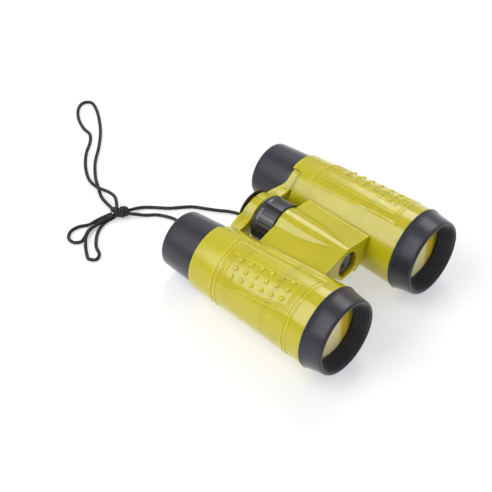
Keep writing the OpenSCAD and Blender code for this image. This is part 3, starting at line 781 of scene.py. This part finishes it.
def stairs():
    """The fine steps inside a front ring, from the lens out to the lip."""
    run, rise = 1.05, (MOUTH_R - LENS_SEAT_R) / STEPS_IN_MOUTH
    out = []
    for i in range(STEPS_IN_MOUTH - 1, -1, -1):
        inner, outer, y = MOUTH_R - rise * (i + 1), MOUTH_R - rise * i, 1.6 + run * i
        out += [(inner, y + 0.3), (inner + 0.22, y), (outer - 0.02, y), (outer, y - 0.1)]
    return out


def dome(r, y_edge, y_mid, n=14):
    """Profile points of a shallow lens face from its edge to its middle."""
    return [(r * t, y_mid + (y_edge - y_mid) * t * t) for t in np.linspace(1, 0, n)]


for side, name in HALVES.items():
    x, half, eye = side * AXIS_X, name + "_half", name + "_eyepiece"
    v, f = lathe(RING_PROFILE + stairs() + [(17.7, 0.9), (18.0, 0.6)], x, 0, 192)
    piece(name + "_ring", row(v), f, "charcoal_plastic", half, [name + "_front_ring"], smooth=38)
    v, f = lathe(EYECUP_PROFILE, x, 0, 160)
    piece(name + "_cup", row(v), f, "charcoal_plastic", eye, [name + "_eyecup"], smooth=38)
    v, f = lathe(dome(14.8, 8.85, 8.0) + list(reversed(dome(16.7, 10.6, 9.9)))
                 + [(16.8, 10.5), (16.8, 9.0), (16.6, 8.85)], x, 0, 128)
    piece(name + "_front_lens", row(v), f, "lens", half, [name + "_objective_lens"], smooth=40)

# ---------------------------------------------------------------- wheel and caps
WHEEL_R, WHEEL_BORE, RIB_DEPTH = 12.7, 4.45, 0.5
GROUPS, FINE_RIBS = 20, 3
LAND_TO, GROUP_FROM = 0.40, 0.48        # as shares of the pitch from land to land


def wheel():
    """Ribbed focus wheel: wide lands between groups of fine ribs, and a smooth rear rim."""
    outline = []
    pitch_deg = 360 / GROUPS
    for g in range(GROUPS):
        start = g * pitch_deg
        marks = [(0.0, 1), (LAND_TO, 1), (0.44, 0)]
        fine = (1 - GROUP_FROM) / FINE_RIBS
        for k in range(FINE_RIBS):
            a = GROUP_FROM + k * fine
            marks += [(a, 0), (a + 0.25 * fine, 0.9), (a + 0.65 * fine, 0.9), (a + 0.85 * fine, 0)]
        for share, high in marks:
            a = math.radians(start + share * pitch_deg)
            r = WHEEL_R - 0.1 - RIB_DEPTH * (1 - high)
            outline.append((r * math.cos(a), HINGE_Z + r * math.sin(a)))
    ribs = prism(outline, 66.25, 74.9, [arc(0, HINGE_Z, WHEEL_BORE, 0, 360, 49)[:-1]])
    rim = lathe([(WHEEL_BORE, 74.8), (12.3, 74.8), (12.66, 74.95), (WHEEL_R, 75.2),
                 (WHEEL_R, 77.2), (12.55, 77.75), (12.2, 78.15), (11.7, 78.35), (10.6, 78.4),
                 (10.3, 78.2), (10.3, 76.6), (7.1, 76.6), (7.1, 78.2), (6.8, 78.4),
                 (WHEEL_BORE, 78.4)], 0, HINGE_Z, 144)
    return joined([ribs, rim])


v, f = wheel()
piece("wheel", row(v), f, "wheel_plastic", "focus_drive", ["focus_wheel"], smooth=28, bevel=0.05)
# the domed cap behind the bridge
v, f = lathe([(4.8, 86.8), (11.0, 86.8), (11.25, 86.88), (11.35, 87.05), (11.3, 87.25),
              (10.9, 87.6), (9.9, 88.3), (8.3, 89.1), (6.2, 89.85), (3.6, 90.25), (1.5, 90.38),
              (0.0, 90.4), (0.0, 89.4), (4.8, 89.4)], 0, HINGE_Z, 128)
piece("cap", row(v), f, "wheel_plastic", "left_eyepiece", ["bridge_cap"], smooth=32)
# the disc in the front knuckle
v, f = lathe([(0.0, 29.15), (2.2, 29.1), (2.6, 28.85), (5.6, 28.7), (6.3, 28.72), (6.6, 28.85),
              (6.86, 29.2), (6.86, 30.5), (0.0, 30.5)], 0, HINGE_Z, 96)
piece("front_cap", row(v), f, "wheel_plastic", "left_half", ["pin_front_cap"], smooth=32)

# ---------------------------------------------------------------- looks of the CAD nodes kept
for entry in frame["record"]["subparts"]:
    node = frame["nodes"][entry["node"]]
    node.data.materials.clear()
    node.data.materials.append(MATERIALS[entry["material_slot"]])
    node.data.polygons.foreach_set("use_smooth", [True] * len(node.data.polygons))
    node.data.set_sharp_from_angle(angle=math.radians(35))

# ---------------------------------------------------------------- floor and light
floor_mesh = bpy.data.meshes.new("floor")
floor_mesh.from_pydata([(-3, -3, 0), (3, -3, 0), (3, 3, 0), (-3, 3, 0)], [], [(0, 1, 2, 3)])
floor = bpy.data.objects.new("floor", floor_mesh)
bpy.context.scene.collection.objects.link(floor)
ground = Nodes("floor_paper")
ground.link(ground.ramp(ground.noise(3.0), [(0.3, (0.56, 0.55, 0.52)),
                                            (0.7, (0.58, 0.57, 0.54))]), "Base Color")
ground.set(Roughness=0.7, Emission_Color=(0.92, 0.94, 1.0, 1), Emission_Strength=0.47)
floor.data.materials.append(ground.mat)

WORLD_STRENGTH = 0.59
world = bpy.data.worlds.new("studio")
world.use_nodes = True
world.node_tree.nodes["Background"].inputs["Color"].default_value = (1.0, 1.0, 1.0, 1)
world.node_tree.nodes["Background"].inputs["Strength"].default_value = WORLD_STRENGTH
bpy.context.scene.world = world


def softbox(name, at, turn, size, power):
    """A rectangular light, its face turned by the angle about the barrels' direction."""
    data = bpy.data.lights.new(name, "AREA")
    data.shape = "RECTANGLE"
    data.size, data.size_y = size
    data.energy = power
    ob = bpy.data.objects.new(name, data)
    ob.location = at
    ob.rotation_euler = (0, math.radians(turn), 0)
    bpy.context.scene.collection.objects.link(ob)


softbox("key", (-0.60, 0.45, 0.80), -37, (1.1, 0.7), 8.0)
softbox("fill", (0.9, 0.5, 1.0), 42, (0.7, 0.7), 6.5)

bpy.context.scene.view_settings.view_transform = "Standard"
bpy.context.scene.view_settings.look = "None"
